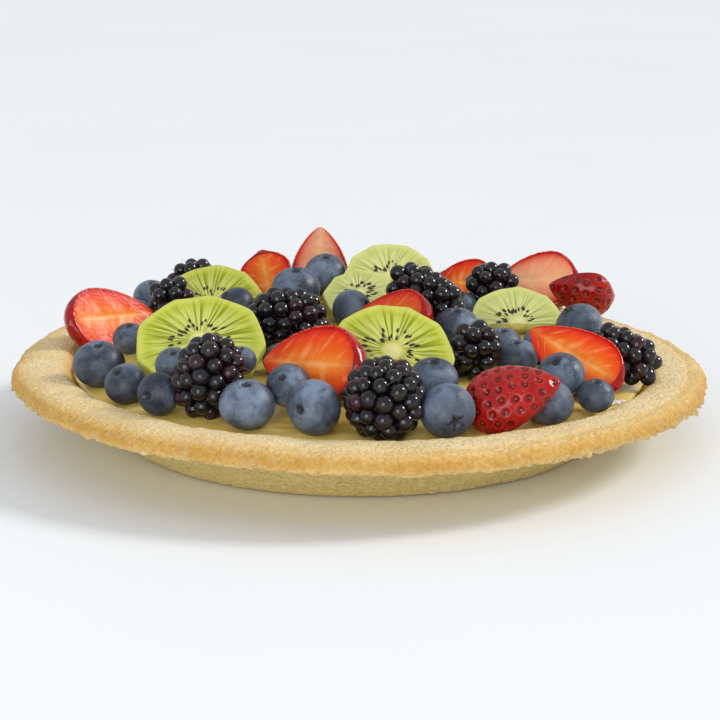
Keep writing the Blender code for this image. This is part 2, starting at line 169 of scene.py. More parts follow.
class Shape:
    """One mesh grown from several parts.

    Each point keeps two vectors for its material: local, its place in the fruit's own frame
    with a shift that differs from fruit to fruit, and mark, three values for its colour.
    """

    def __init__(self, shift=0.0):
        self.points, self.marks, self.faces, self.looks = [], [], [], []
        self.count = 0
        self.shift = shift

    def add(self, points, faces, look=0, mark=(0.0, 0.0, 0.0)):
        points = np.asarray(points, float)
        marks = np.broadcast_to(np.asarray(mark, float), points.shape)
        self.points.append(points)
        self.marks.append(marks)
        self.faces += [[self.count + corner for corner in face] for face in faces]
        self.looks += [look] * len(faces)
        self.count += len(points)

    def join(self, part, turn, centre):
        """Adds another whole shape, turned and moved."""
        self.points += [points @ turn.T + centre for points in part.points]
        self.marks += part.marks
        self.faces += [[self.count + corner for corner in face] for face in part.faces]
        self.looks += part.looks
        self.count += part.count

    def piece(self, name, materials, matrix=None):
        """Makes the object, in metres, where matrix puts it."""
        local = np.concatenate(self.points)
        if matrix is None:
            placed = local * MM
        else:
            turn = np.array(matrix.to_3x3())
            placed = (local @ turn.T + np.array(matrix.translation)) * MM
        mesh = bpy.data.meshes.new(name)
        mesh.from_pydata(placed.tolist(), [], self.faces)
        add_vectors(mesh, "local", local + self.shift)
        add_vectors(mesh, "mark", np.concatenate(self.marks))
        for material in materials:
            mesh.materials.append(material)
        mesh.polygons.foreach_set("material_index", self.looks)
        mesh.shade_smooth()
        return link(name, mesh)


def add_vectors(mesh, name, vectors):
    attribute = mesh.attributes.new(name, "FLOAT_VECTOR", "POINT")
    attribute.data.foreach_set("vector", np.asarray(vectors, np.float32).ravel())


def capped(rows, columns, closed=True):
    """Faces of a grid of points, closed round its columns or open, and its two end rows."""
    across = columns if closed else columns - 1
    row, column = np.meshgrid(np.arange(rows - 1), np.arange(across), indexing="ij")
    after = (column + 1) % columns
    corners = (row * columns + column, row * columns + after,
               (row + 1) * columns + after, (row + 1) * columns + column)
    first = list(range(columns))[::-1]
    last = list(range((rows - 1) * columns, rows * columns))
    return np.stack(corners, -1).reshape(-1, 4).tolist() + [first, last]


def turned_over(faces):
    return [face[::-1] for face in faces]


def spread(first, second):
    """Every pair of the two rows of values, as two long rows."""
    first, second = np.meshgrid(first, second, indexing="ij")
    return first.ravel(), second.ravel()


def round_turns(count):
    return tau * np.arange(count) / count


def round_points(radius, turn, z):
    parts = radius * np.cos(turn), radius * np.sin(turn), z
    return np.stack(np.broadcast_arrays(*parts), -1)


def link(name, data):
    thing = bpy.data.objects.new(name, data)
    bpy.context.scene.collection.objects.link(thing)
    return thing


def reshape(piece, change):
    """Lets change, a function, work on a piece's mesh."""
    bm = bmesh.new()
    bm.from_mesh(piece.data)
    change(bm)
    bm.to_mesh(piece.data)
    bm.free()


def face_outwards(bm):
    bmesh.ops.recalc_face_normals(bm, faces=bm.faces)


def weld(bm):
    """Joins points that lie together, so that the cut face and the skin share an edge."""
    bmesh.ops.remove_doubles(bm, verts=bm.verts, dist=WELD_DISTANCE * MM)
    face_outwards(bm)


def ripples(points, size, seed, waves=14):
    """A smooth random value, mostly between -1 and 1, with swells of about that size."""
    draw = np.random.default_rng(seed)
    ways = draw.normal(size=(waves, 3))
    ways /= np.linalg.norm(ways, axis=1)[:, None]
    ways *= tau / size * draw.uniform(0.6, 1.5, (waves, 1))
    phases = draw.uniform(0, tau, waves)
    return np.sin(points @ ways.T + phases).sum(1) / np.sqrt(waves)


def ball(rows, columns):
    """Points of a unit ball in rings from +Z to -Z, and the faces between them."""
    polar, turn = spread(pi * (np.arange(rows) + 0.5) / rows, round_turns(columns))
    points = round_points(np.sin(polar), turn, np.cos(polar))
    return points, turned_over(capped(rows, columns))


def facing(direction, tip):
    """A turn that takes +Z to direction and +X as near to tip as it can."""
    up = Vector(direction).normalized()
    along = Vector(tip) - up * up.dot(Vector(tip))
    if along.length < 0.01:
        along = up.orthogonal()
    along.normalize()
    return Matrix((along, up.cross(along), up)).transposed()


def kind_of(name):
    return name.rstrip("0123456789").rstrip("_")


def number_of(name):
    return int(name[-2:])


def fit(name):
    """A node's frame, and its lowest and highest corner in that frame, in millimetres."""
    turn = facing(FACES.get(name, USUAL_FACES.get(kind_of(name))), TIPS.get(name, ACROSS))
    points = np.array([vert.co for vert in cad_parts[name].data.vertices]) / MM
    local = points @ np.array(turn)
    return turn, local.min(0), local.max(0)


def placed_at(turn, centre):
    """The matrix of a frame whose own centre is at that place in it."""
    matrix = turn.to_4x4()
    matrix.translation = turn @ Vector(centre)
    return matrix


def shape_for(name):
    return Shape(shift=SHIFTS[kind_of(name)] * number_of(name))


def stand_for(piece, node):
    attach(piece, "root")
    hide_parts(node)


def stand_alone(shape, name, looks):
    """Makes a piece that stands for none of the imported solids."""
    piece = shape.piece(name, looks)
    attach(piece, "root")


# -------- blueberries

def blueberry_points(width, height, seed, rows=36, columns=40, starred=False):
    """A flattened ball whose crown is a five-lobed collar round a dimple."""
    near = np.linspace(0.03, 0.5, rows * 2 // 5, endpoint=False)
    polar = np.concatenate((near, np.linspace(0.5, pi - 0.05, rows - len(near))))
    polar, turn = spread(polar, round_turns(columns))
    lobes = np.clip(np.cos(5 * turn + seed), 0, 1) ** 0.7
    dimple = np.clip(1 - (polar / 0.24) ** 2, 0, 1)
    collar = np.exp(-((polar - 0.25 - 0.06 * lobes) / 0.045) ** 2) * (0.3 + 0.7 * lobes)
    sphere = round_points(np.sin(polar), turn, np.cos(polar))
    reach = 1 + 0.04 * collar + 0.014 * ripples(sphere, 2.2, seed)
    points = sphere * reach[:, None] * (width / 2, width / 2, height / 2)
    points[:, 2] -= dimple * height * 0.07
    points[:, 2] -= 0.02 * height * np.exp(-((pi - polar) / 0.2) ** 2)
    open_to = 0.15 + 0.24 * lobes if starred else 0.19 + 0.03 * lobes
    inside = np.clip((open_to - polar) / 0.05, 0, 1)
    bloom = np.random.default_rng(seed).random()
    mark = np.stack((inside, np.clip(collar, 0, 1), np.full_like(polar, bloom)), -1)
    return points, turned_over(capped(rows, columns)), mark


def make_blueberry(name, look):
    turn, low, high = fit(name)
    width = (high - low)[0]
    height = width * BERRY_FLATNESS
    shape = shape_for(name)
    number = number_of(name)
    points, faces, mark = blueberry_points(width, height, number, starred=number in STARRED)
    shape.add(points, faces, mark=mark)
    middle = (low + high) / 2
    middle[2] = low[2] + height / 2
    piece = shape.piece(name + "_skin", [look], placed_at(turn, middle))
    stand_for(piece, name)


# -------- brambles

def on_berry(points, reach):
    """Moves points straight out, or in, to the surface of a full, round-ended berry."""
    for _ in range(4):
        part = np.abs(points / reach)
        full = part[:, 0] ** 2 + part[:, 1] ** 2 + part[:, 2] ** 2.6
        points = points / full[:, None] ** 0.45
    return points


def drupelet_places(length, width, seed):
    """Centres, outward ways and sizes of drupelets that crowd evenly over a berry."""
    draw = np.random.default_rng(seed)
    reach = np.array((width, width, length)) / 2 - DRUPELET * 0.46
    pairs = np.array((reach[0] * reach[0], reach[0] * reach[2], reach[0] * reach[2]))
    area = 4 * pi * ((pairs ** 1.6).mean()) ** (1 / 1.6)
    count = round(area / (0.74 * DRUPELET ** 2))
    z = 1 - 2 * (np.arange(count) + 0.5) / count
    turn = np.arange(count) * pi * (3 - 5 ** 0.5) + draw.uniform(0, tau)
    side = np.sqrt(1 - z * z)
    points = np.stack((side * np.cos(turn), side * np.sin(turn), z), -1) * reach
    points += draw.normal(0, 0.22 * DRUPELET, points.shape)
    for _ in range(25):
        gap = points[:, None] - points
        away = np.linalg.norm(gap, axis=2) + 99 * np.eye(count)
        push = np.clip(1.05 * DRUPELET - away, 0, None) / away
        points = on_berry(points + 0.35 * (gap * push[..., None]).sum(1), reach)
    ways = points / reach ** 2
    ways /= np.linalg.norm(ways, axis=1)[:, None]
    sizes = DRUPELET * draw.uniform(0.98, 1.16, count)
    return list(zip(points, ways, sizes))


def add_drupelets(shape, length, width, seed, rows=12, columns=16):
    """Glossy beads packed over a core, each a little taller than it is wide; the core is painted
    near black, as painted shade in the gaps between the beads.
    """
    draw = np.random.default_rng(1000 + seed)
    bead, faces = ball(rows, columns)
    for centre, way, size in drupelet_places(length, width, seed):
        side = np.cross(way, draw.normal(size=3))
        side /= np.linalg.norm(side)
        axes = np.stack((side, np.cross(way, side), way))
        stretch = size / 2 * np.array((1.02, draw.uniform(0.94, 1.06), 1.12))
        shape.add(bead * stretch @ axes + centre, faces, mark=(draw.random(), 0.0, 0.0))
    core, faces = ball(12, 20)
    core = core * (np.array((width, width, length)) / 2 - CORE_INSETS)
    # the core's second mark value paints it near black, as painted shade between the drupelets
    shape.add(core, faces, mark=(0.0, 1.0, 0.0))


def add_hairs(shape, length, width, seed):
    """Short fine hairs, the dried styles, that curl out from between the drupelets."""
    draw = np.random.default_rng(2000 + seed)
    steps, sides = 5, 3
    faces = capped(steps, sides)
    for centre, way, size in drupelet_places(length, width, seed):
        if draw.random() > HAIR_SHARE:
            continue
        lean = draw.normal(size=3)
        lean -= way * (lean @ way)
        lean /= np.linalg.norm(lean)
        root = centre + lean * size * 0.42 + way * size * 0.25
        reach = draw.uniform(0.35, 0.7) * size
        points = []
        for step in range(steps):
            part = step / (steps - 1)
            middle = root + way * reach * part + lean * reach * 0.7 * part ** 2
            thick = HAIR_THICKNESS * (1.15 - part)
            for side in range(sides):
                turn = tau * side / sides
                across = lean * cos(turn) + np.cross(way, lean) * sin(turn)
                points.append(middle + across * thick)
        shape.add(points, faces, look=1)


def make_bramble(name, looks):
    turn, low, high = fit(name)
    length = (high - low)[2] * BRAMBLE_FULLNESS
    width = (high - low)[:2].max()
    shape = shape_for(name)
    add_drupelets(shape, length, width, number_of(name))
    add_hairs(shape, length, width, number_of(name))
    piece = shape.piece(name + "_drupelets", looks, placed_at(turn, (low + high) / 2))
    stand_for(piece, name)


# -------- kiwi slices

def kiwi_outline(turn, half, seed):
    """A peeled slice's outline, whose long flats are where the peel was pared off."""
    flats = 8 + seed % 3
    place = (turn / tau * flats + 0.12 * np.sin(3 * turn + seed)) % 1.0
    pared = cos(pi / flats) / np.cos(pi / flats * (2 * place - 1))
    return half * (0.35 + 0.65 * pared) * (1 + 0.01 * np.sin(2 * turn + seed))


def kiwi_side(half, sign, number):
    """One cut face as a disc of rings, with ridges along the rays and a swollen core."""
    seed = number if sign > 0 else number + 100
    part, turn = spread(np.linspace(0.012, 1.0, KIWI_RINGS), round_turns(KIWI_COLUMNS))
    radius = (kiwi_outline(turn, half, number) - 0.5) * part
    around = round_points(1.0, turn, 0.0)
    rays = ripples(around, 0.14, seed, 30) * np.exp(-((part - 0.5) / 0.35) ** 2)
    lumps = ripples(around * radius[:, None], 9.0, seed + 1)
    core = np.exp(-(part / 0.17) ** 2)
    z = sign * KIWI_THICKNESS / 2 + sign * (0.13 * rays + 0.16 * lumps + 0.25 * core)
    mark = np.stack((part, np.cos(turn), np.sin(turn)), -1)
    return round_points(radius, turn, z), mark


def add_kiwi(shape, half, seed):
    """Two cut faces joined by a slightly bulging, rounded side."""
    top, mark = kiwi_side(half, 1, seed)
    under, under_mark = kiwi_side(half, -1, seed)
    turn = round_turns(KIWI_COLUMNS)
    edge = kiwi_outline(turn, half, seed)
    points, marks = [top], [mark]
    for level, inset in ((0.47, 0.2), (0.3, 0.0), (0.0, 0.0), (-0.3, 0.1), (-0.46, 0.5)):
        radius = edge - inset + 0.12 * np.sin(9 * turn + seed)
        points.append(round_points(radius, turn, level * KIWI_THICKNESS))
        marks.append(np.stack((np.full(KIWI_COLUMNS, 1.08), np.cos(turn), np.sin(turn)), -1))
    flipped = np.arange(len(under)).reshape(KIWI_RINGS, KIWI_COLUMNS)[::-1].ravel()
    points.append(under[flipped])
    marks.append(under_mark[flipped])
    points, marks = np.concatenate(points), np.concatenate(marks)
    rows = len(points) // KIWI_COLUMNS
    shape.add(points, turned_over(capped(rows, KIWI_COLUMNS)), mark=marks)


def add_kiwi_seeds(shape, half, seed, halved):
    """Dark drop-shaped seeds that stand half out of the flesh, round the core."""
    draw = np.random.default_rng(seed)
    drop, faces = ball(8, 8)
    for index in range(KIWI_SEEDS):
        turn = tau * (index + draw.uniform(-0.45, 0.45)) / KIWI_SEEDS
        part = draw.choice((0.28, 0.35, 0.43)) + draw.normal(0, 0.03)
        if halved and sin(turn) * part < 0:
            continue
        for sign in (1, -1):
            lengths = np.array((draw.uniform(0.9, 1.25), draw.uniform(0.4, 0.52), 0.3))
            points = drop * lengths
            points[:, 1] *= 1 - 0.35 * points[:, 0] / lengths[0]
            points[:, 0] += part * half
            rotated = points @ np.array(((cos(turn), sin(turn), 0), (-sin(turn), cos(turn), 0),
                                         (0, 0, 1)))
            rotated[:, 2] += sign * (KIWI_THICKNESS / 2 + 0.02)
            shape.add(rotated, faces, look=1)


def trim_kiwi(piece, matrix, level):
    """Cuts a slice straight across, at that place along its own Y, and closes the cut."""
    where = matrix @ Vector((0, level, 0)) * MM
    way = matrix.to_3x3() @ Vector((0, -1, 0))

    def cut(bm):
        whole = [*bm.verts, *bm.edges, *bm.faces]
        bmesh.ops.bisect_plane(bm, geom=whole, plane_co=where, plane_no=way, clear_outer=True)
        rim = [edge for edge in bm.edges if edge.is_boundary]
        bmesh.ops.holes_fill(bm, edges=rim, sides=0)

    reshape(piece, cut)


def make_kiwi(name, looks):
    """A whole slice, or half of one where its solid is much less tall than it is wide."""
    turn, low, high = fit(name)
    half = (high - low)[0] / 2
    halved = (high - low)[1] < 1.3 * half
    centre = (low + high) / 2
    if halved:
        centre[1] = high[1] - half
    shape = shape_for(name)
    add_kiwi(shape, half, number_of(name))
    add_kiwi_seeds(shape, half, number_of(name), halved)
    matrix = placed_at(turn, centre)
    piece = shape.piece(name + "_flesh", looks, matrix)
    if halved:
        trim_kiwi(piece, matrix, low[1] - centre[1])
    stand_for(piece, name)


# -------- strawberry halves

def strawberry_outline(along):
    """Half-width, 0 to 1, from the calyx end (0) to the tip (1)."""
    calyx = np.sqrt(np.clip(1 - (1 - along / STRAWBERRY_SHOULDER) ** 2, 0, 1))
    taper = np.clip((along - STRAWBERRY_SHOULDER) / (1 - STRAWBERRY_SHOULDER), 0, 1)
    return np.where(along < STRAWBERRY_SHOULDER, calyx, np.cos(pi / 2 * taper) ** 0.7)


def stations(count):
    """Places along the berry, closer together near its two blunt ends."""
    return 0.5 - 0.5 * np.cos(pi * np.linspace(0.035, 0.975, count))


def seed_places(length, width, seed):
    """Staggered rows of seeds over the skin: along, and the angle round the back."""
    draw = np.random.default_rng(3000 + seed)
    places = []
    rows = round(length * 1.05 / SEED_SPACING)
    for row in range(rows):
        along = (row + 0.6) / rows
        around = pi * width / 2 * float(strawberry_outline(np.array(along)))
        count = max(1, round(around / SEED_SPACING))
        for index in range(count):
            angle = pi * (index + 0.25 + 0.5 * (row % 2)) / count
            if 0.1 < angle < pi - 0.1:
                places.append((along + draw.normal(0, 0.006), angle + draw.normal(0, 0.03)))
    return places


def bulge(angle):
    """How far the back swells past the edge of the cut."""
    return 1 + 0.05 * np.sin(2 * np.minimum(angle, pi - angle)) ** 2


def heel(along, angle):
    """How far the back reaches past the calyx end of the cut."""
    return HEEL * np.sin(angle) ** 0.5 * np.clip(1 - along / 0.5, 0, 1)


def on_skin(along, angle, length, width):
    """The place on the back, without its lumps and pits, so far along and round it."""
    half = width / 2 * float(strawberry_outline(np.array(along))) * float(bulge(angle))
    return np.array((length * (along - 0.5) - float(heel(along, angle)), half * cos(angle),
                     -half * STRAWBERRY_DEPTH * sin(angle)))


def pits_in(points, places, length, width):
    """For each point, how deep it is in a pit, and how near to a pit's rim."""
    depth, rim = np.zeros(len(points)), np.zeros(len(points))
    for along, angle in places:
        away = np.linalg.norm(points - on_skin(along, angle, length, width), axis=1)
        depth = np.maximum(depth, np.exp(-(away / PIT_REACH) ** 4))
        rim = np.maximum(rim, np.exp(-((away - PIT_REACH - 0.4) / 0.4) ** 2))
    return depth, rim


def add_skin(shape, length, width, places, seed, rows=90, columns=80):
    """The rounded back, with a pit round each seed."""
    along, angle = spread(stations(rows), pi * np.linspace(0, 1, columns))
    half = width / 2 * strawberry_outline(along)
    out = np.stack((np.zeros_like(along), np.cos(angle), -STRAWBERRY_DEPTH * np.sin(angle)), -1)
    points = out * (half * bulge(angle))[:, None]
    points[:, 0] = length * (along - 0.5) - heel(along, angle)
    depth, rim = pits_in(points, places, length, width)
    lump = ripples(points, 11.0, seed)
    free = np.sin(angle) ** 0.4
    points += out * ((0.25 * lump + 0.2 * rim - PIT_DEPTH * depth) * free)[:, None]
    mark = np.stack((depth, rim, along), -1)
    shape.add(points, capped(rows, columns, closed=False), mark=mark)


def add_cut_face(shape, length, width, seed, rows=90, columns=48):
    """The flat cut: a hollow along the core, and fibres that run out to the skin."""
    along, across = spread(stations(rows), np.linspace(-1, 1, columns))
    half = width / 2 * strawberry_outline(along)
    flat = np.stack((along * 16, across * 1.5, np.zeros_like(along)), -1)
    fibres = ripples(flat, 1.6, seed)
    inner = 1 - across ** 2
    dip = 0.35 * np.exp(-(across / 0.16) ** 2) * np.exp(-((along - 0.45) / 0.25) ** 2)
    z = inner * (0.1 * fibres + 0.15 * ripples(flat, 9.0, seed + 5)) - dip
    points = np.stack((length * (along - 0.5), across * half, z), -1)
    slant = along + 0.22 * np.abs(across)
    mark = np.stack((np.abs(across), slant, np.sign(across) * 0.5 + 0.5), -1)
    faces = turned_over(capped(rows, columns, closed=False))
    shape.add(points, faces, look=1, mark=mark)


def add_achenes(shape, length, width, places):
    """The seeds, one lying in each pit."""
    grain, faces = ball(6, 8)
    for along, angle in places:
        centre = on_skin(along, angle, length, width)
        way = np.array((0.0, cos(angle), -sin(angle)))
        ahead = np.array((1.0, 0.0, 0.0))
        axes = np.stack((ahead, np.cross(way, ahead), way))
        points = grain * (0.6, 0.36, 0.28) @ axes + centre - way * 0.6
        shape.add(points, faces, look=2)


def make_strawberry(name, looks):
    turn, low, high = fit(name)
    length, width = (high - low)[:2]
    centre = (low + high) / 2
    centre[2] = high[2]
    seed = number_of(name)
    places = seed_places(length, width, seed)
    shape = shape_for(name)
    add_skin(shape, length, width, places, seed)
    add_cut_face(shape, length, width, seed)
    add_achenes(shape, length, width, places)
    piece = shape.piece(name + "_flesh", looks, placed_at(turn, centre))
    reshape(piece, weld)
    stand_for(piece, name)


# -------- shell

# Radius, height, how browned, which on the inner wall under the rim is painted shade, how far it
# belongs to the fluted wall, how crumbly
CRUST_PROFILE = (
    (0.5, 0.0, 0.3, 0.0, 0.0),
    (BASE_RADIUS - 14.0, 0.0, 0.3, 0.0, 0.0),
    (BASE_RADIUS - 2.5, 0.0, 0.35, 0.2, 0.0),
    (BASE_RADIUS - 0.2, 1.2, 0.4, 1.0, 0.0),
    (WALL_TOP_RADIUS - 1.2, 16.4, 0.35, 1.0, 0.0),
    (WALL_TOP_RADIUS + 1.2, 18.2, 0.4, 0.5, 0.0),
    (RIM_RADIUS - 9.0, LIP_UNDERSIDE - 0.2, 0.45, 0.1, 0.2),
    (RIM_RADIUS - 2.2, LIP_UNDERSIDE - 0.1, 0.35, 0.0, 1.0),
    (RIM_RADIUS - 0.5, LIP_UNDERSIDE + 0.7, 0.5, 0.0, 1.0),
    (RIM_RADIUS, LIP_UNDERSIDE + 2.6, 0.95, 0.0, 0.4),
    (RIM_RADIUS - 0.6, RIM_HEIGHT - 2.2, 0.9, 0.0, 0.1),
    (RIM_RADIUS - 3.0, RIM_HEIGHT - 0.7, 0.45, 0.0, 0.0),
    (RIM_RADIUS - 9.0, RIM_HEIGHT, 0.15, 0.0, 0.0),
    (RIM_INNER_RADIUS + 2.4, RIM_HEIGHT - 0.1, 0.2, 0.0, 0.0),
    # painted shade: the inner wall from the rim's inner edge down to the custard gets more
    # browning, so it is darker where the rim shades it
    (RIM_INNER_RADIUS - 0.2, RIM_HEIGHT - 1.2, 0.5, 0.0, 0.1),
    (RIM_INNER_RADIUS - 2.6, CUSTARD_LEVEL - 0.5, 0.7, 0.0, 0.1),
    (RIM_INNER_RADIUS - 5.0, CUSTARD_LEVEL - 3.5, 0.5, 0.0, 0.0),
    (BASE_RADIUS - 3.5, FLOOR_THICKNESS + 1.0, 0.3, 0.0, 0.0),
    (BASE_RADIUS - 14.0, FLOOR_THICKNESS, 0.3, 0.0, 0.0),
    (0.5, FLOOR_THICKNESS, 0.3, 0.0, 0.0),
)


def rounded_profile(corners, spacing):
    """Cuts the corners twice, then spaces points evenly; bare flats get wider steps."""
    line = np.array(corners, float)
    for _ in range(2):
        before, after = line[:-1], line[1:]
        cut = np.stack((before * 0.75 + after * 0.25, before * 0.25 + after * 0.75), 1)
        line = np.concatenate((line[:1], cut.reshape(-1, line.shape[1]), line[-1:]))
    step = np.linalg.norm(np.diff(line[:, :2], axis=0), axis=1)
    hidden = (line[:-1, 0] < BASE_RADIUS - 5.0) | (
        (line[:-1, 0] < RIM_INNER_RADIUS - 4.0) & (line[:-1, 3] == 0.0))
    step = np.where(hidden, step * 0.12, step)
    length = np.concatenate(((0.0,), np.cumsum(step)))
    places = np.linspace(0, length[-1], int(length[-1] / spacing))
    return np.stack([np.interp(places, length, column) for column in line.T], 1)


def bake_warp(points):
    """The same tilt and the same uneven lip as the solid has."""
    x, y, z = points.T
    radius = np.hypot(x, y)
    rise = np.clip((z - FLOOR_THICKNESS - 1.0) / 15.0, 0, 1)
    reach = np.clip((radius - RIM_INNER_RADIUS) / (RIM_RADIUS - RIM_INNER_RADIUS), 0, None)
    turn = -np.arctan2(y, x)
    wave = np.sin(5 * turn + 1.0) + 0.7 * np.sin(9 * turn) + 0.5 * np.sin(17 * turn + 2.0)
    grown = 1 + LIP_WAVE * wave * reach / np.maximum(radius, 1.0)
    sway = LIP_SWAY * reach * (np.sin(3 * turn) + np.sin(7 * turn + 2.0))
    return np.stack((x * grown, y * grown, z + RIM_TILT * x * rise + sway), 1)


def make_crust(look):
    profile = rounded_profile(CRUST_PROFILE, CRUST_SPACING)
    rows = len(profile)
    index, turn = spread(np.arange(rows), round_turns(CRUST_COLUMNS))
    radius, z, browning_and_shade, wall, crumbly = profile[index].T
    radius = radius - wall * FLUTE_DEPTH * (0.5 + 0.5 * np.cos(FLUTES * turn))
    points = round_points(radius, turn, z)
    seen = (radius > BASE_RADIUS - 5.0) & (z > 0.4)
    grain = 0.16 * ripples(points, 3.2, 1, 30) + 0.12 * ripples(points, 8.0, 2, 24)
    grain += 0.22 * ripples(points, 26.0, 3)
    # the lip's edge is ragged, most of all at the two sides
    sides = np.clip(np.abs(np.cos(turn + 0.35)) * 1.6 - 0.7, 0.25, 1)
    ragged = crumbly * sides * (0.7 * ripples(points, 2.6, 4, 30)
                                + 0.8 * np.maximum(ripples(points, 4.6, 5, 30), 0))
    # a crimped groove runs near the outer edge on the right-hand side
    right = np.clip(np.cos(turn + 0.55) * 1.5 - 0.15, 0, 1)
    groove = np.exp(-((radius - RIM_RADIUS + GROOVE_INSET) / GROOVE_WIDTH) ** 2)
    groove = groove * (z > RIM_HEIGHT - 3)
    out = round_points(1.0, turn, 0.0)
    points += out * (seen * (grain * 0.6 + ragged))[:, None]
    points[:, 2] += seen * (grain * (radius > WALL_TOP_RADIUS) - ragged * 0.9)
    points[:, 2] -= GROOVE_DEPTH * groove * right
    points = bake_warp(points)
    shape = Shape()
    # painted shade: the crimped groove on the right is darkened with extra browning
    mark = np.stack((browning_and_shade + 0.25 * groove * right, wall, crumbly), -1)
    shape.add(points, turned_over(capped(rows, CRUST_COLUMNS)), mark=mark)
    piece = shape.piece("crust_pastry", [look])
    reshape(piece, face_outwards)
    stand_for(piece, "crust")


def make_crumbs(look):
    """Crumbs of pastry stuck along the lower edge of the lip, thickest at the two sides."""
    draw = np.random.default_rng(77)
    grain, faces = ball(6, 8)
    shape = Shape()
    for _ in range(CRUMBS):
        turn = draw.choice((pi, 0.0)) + draw.normal(0, 0.55)
        size = draw.uniform(0.35, 0.95)
        radius = RIM_RADIUS - draw.uniform(0.7, 2.0)
        points = grain * size * draw.uniform(0.7, 1.3, 3)
        points *= 1 + 0.2 * ripples(grain, 1.2, draw.integers(9999))[:, None]
        points += (radius * cos(turn), radius * sin(turn), LIP_UNDERSIDE + draw.uniform(0.1, 1.4))
        shape.add(bake_warp(points), faces, mark=(draw.uniform(0.2, 0.9), 0.0, 1.0))
    stand_alone(shape, "crumbs", [look])


# -------- custard

def custard_height(x, y):
    """The height of the custard's surface, in millimetres."""
    radius = np.hypot(x, y)
    dome = CUSTARD_CROWN * (1 - (radius / CUSTARD_EDGE) ** 2)
    return CUSTARD_LEVEL + dome + CUSTARD_TILT * (y + CUSTARD_EDGE) + RIM_TILT * x


def make_custard(look, columns=220, rings=84):
    edge = round_turns(columns)
    top = round_points(*spread(np.linspace(0.4, CUSTARD_EDGE + 0.6, rings), edge), 0.0)
    height = custard_height(top[:, 0], top[:, 1]) + CUSTARD_SWELL
    top[:, 2] = height + 0.3 * ripples(top, 14.0, 6) + 0.15 * ripples(top, 5.0, 7)
    sides = [top]
    for width, level in ((CUSTARD_EDGE - 2.0, CUSTARD_LEVEL - 3.0), (BASE_RADIUS - 4.0, 5.4)):
        sides.append(round_points(width, edge, level))
    shape = Shape()
    shape.add(np.concatenate(sides), turned_over(capped(rings + 2, columns)))
    piece = shape.piece("custard_filling", [look])
    reshape(piece, face_outwards)
    stand_for(piece, "custard")


def make_dabs(look):
    """Little dabs of cream by the rim, between the fruit at the front right."""
    draw = np.random.default_rng(5)
    bead, faces = ball(10, 14)
    shape = Shape()
    for x, y in CREAM_DABS:
        size = draw.uniform(1.3, 2.1)
        points = bead * (size * 1.2, size, size * 0.6)
        points *= 1 + 0.12 * ripples(bead, 1.4, draw.integers(9999))[:, None]
        height = custard_height(x, y) + CUSTARD_SWELL + 0.6
        shape.add(points + (x, y, height), faces)
    stand_alone(shape, "cream_dabs", [look])


# -------- further toppings

def fruit_tree():
    """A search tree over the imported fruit, in millimetres."""
    points, faces = [], []
    for name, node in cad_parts.items():
        if name in ("crust", "custard"):
            continue
        first = len(points)
        points += [vert.co / MM for vert in node.data.vertices]
        faces += [[first + corner for corner in face.vertices] for face in node.data.polygons]
    return BVHTree.FromPolygons(points, faces)


def hidden_from_front(tree, centre, width):
    """Whether packed fruit stands between the camera and every side of a berry there."""
    eye = camera_place() / MM
    ball_points, _ = ball(5, 8)
    for point in ball_points * width * 0.55:
        start = centre + Vector(point)
        way = eye - start
        if tree.ray_cast(start + way.normalized() * 0.01, way)[0] is None:
            return False
    return True


def free_places(tree, taken, widths, tries, seed):
    """Hidden places on the custard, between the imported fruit, where a berry that wide fits."""
    draw = np.random.default_rng(seed)
    found = []
    for width in widths:
        for _ in range(tries):
            radius = FURTHER_RADIUS * draw.random() ** 0.5
            turn = draw.uniform(0, tau)
            x, y = radius * cos(turn), radius * sin(turn)
            z = float(custard_height(x, y)) + CUSTARD_SWELL + width * FURTHER_HEIGHT
            centre = Vector((x, y, z))
            if tree.find_nearest(centre)[3] < width * FURTHER_CLEARANCE:
                continue
            if any((centre - other).length < FURTHER_SPACING * (width + wide)
                   for other, wide in taken):
                continue
            if hidden_from_front(tree, centre, width):
                taken.append((centre, width))
                found.append((centre, width))
    return found


def make_further_toppings(blueberry_look, bramble_looks):
    """Brambles, then berries, laid where the custard would be bare in the heap."""
    tree, taken = fruit_tree(), []
    draw = np.random.default_rng(8)
    shape = Shape()
    places = free_places(tree, taken, FURTHER_BRAMBLES, BRAMBLE_TRIES, 81)
    for index, (centre, width) in enumerate(places):
        bramble = Shape()
        add_drupelets(bramble, width * 1.15, width, 60 + index, rows=9, columns=12)
        turn = np.array(facing(draw.normal(size=3), draw.normal(size=3)))
        shape.join(bramble, turn, np.array(centre))
    stand_alone(shape, "further_brambles", bramble_looks)
    shape = Shape()
    places = free_places(tree, taken, FURTHER_BLUEBERRIES, BLUEBERRY_TRIES, 82)
    for index, (centre, width) in enumerate(places):
        height = width * BERRY_FLATNESS
        points, faces, mark = blueberry_points(width, height, index, rows=22, columns=24)
        turn = np.array(facing((draw.normal(0, 0.5), draw.normal(-0.3, 0.5), 1), ACROSS))
        shape.add(points @ turn.T + np.array(centre), faces, mark=mark)
    stand_alone(shape, "further_blueberries", [blueberry_look])


# -------- materials

def srgb(red, green, blue):
    """A colour given as 0 to 255 on a screen, as linear light."""
    values = []
    for value in (red, green, blue):
        value /= 255
        values.append(value / 12.92 if value <= 0.04045 else ((value + 0.055) / 1.055) ** 2.4)
    return (*values, 1.0)


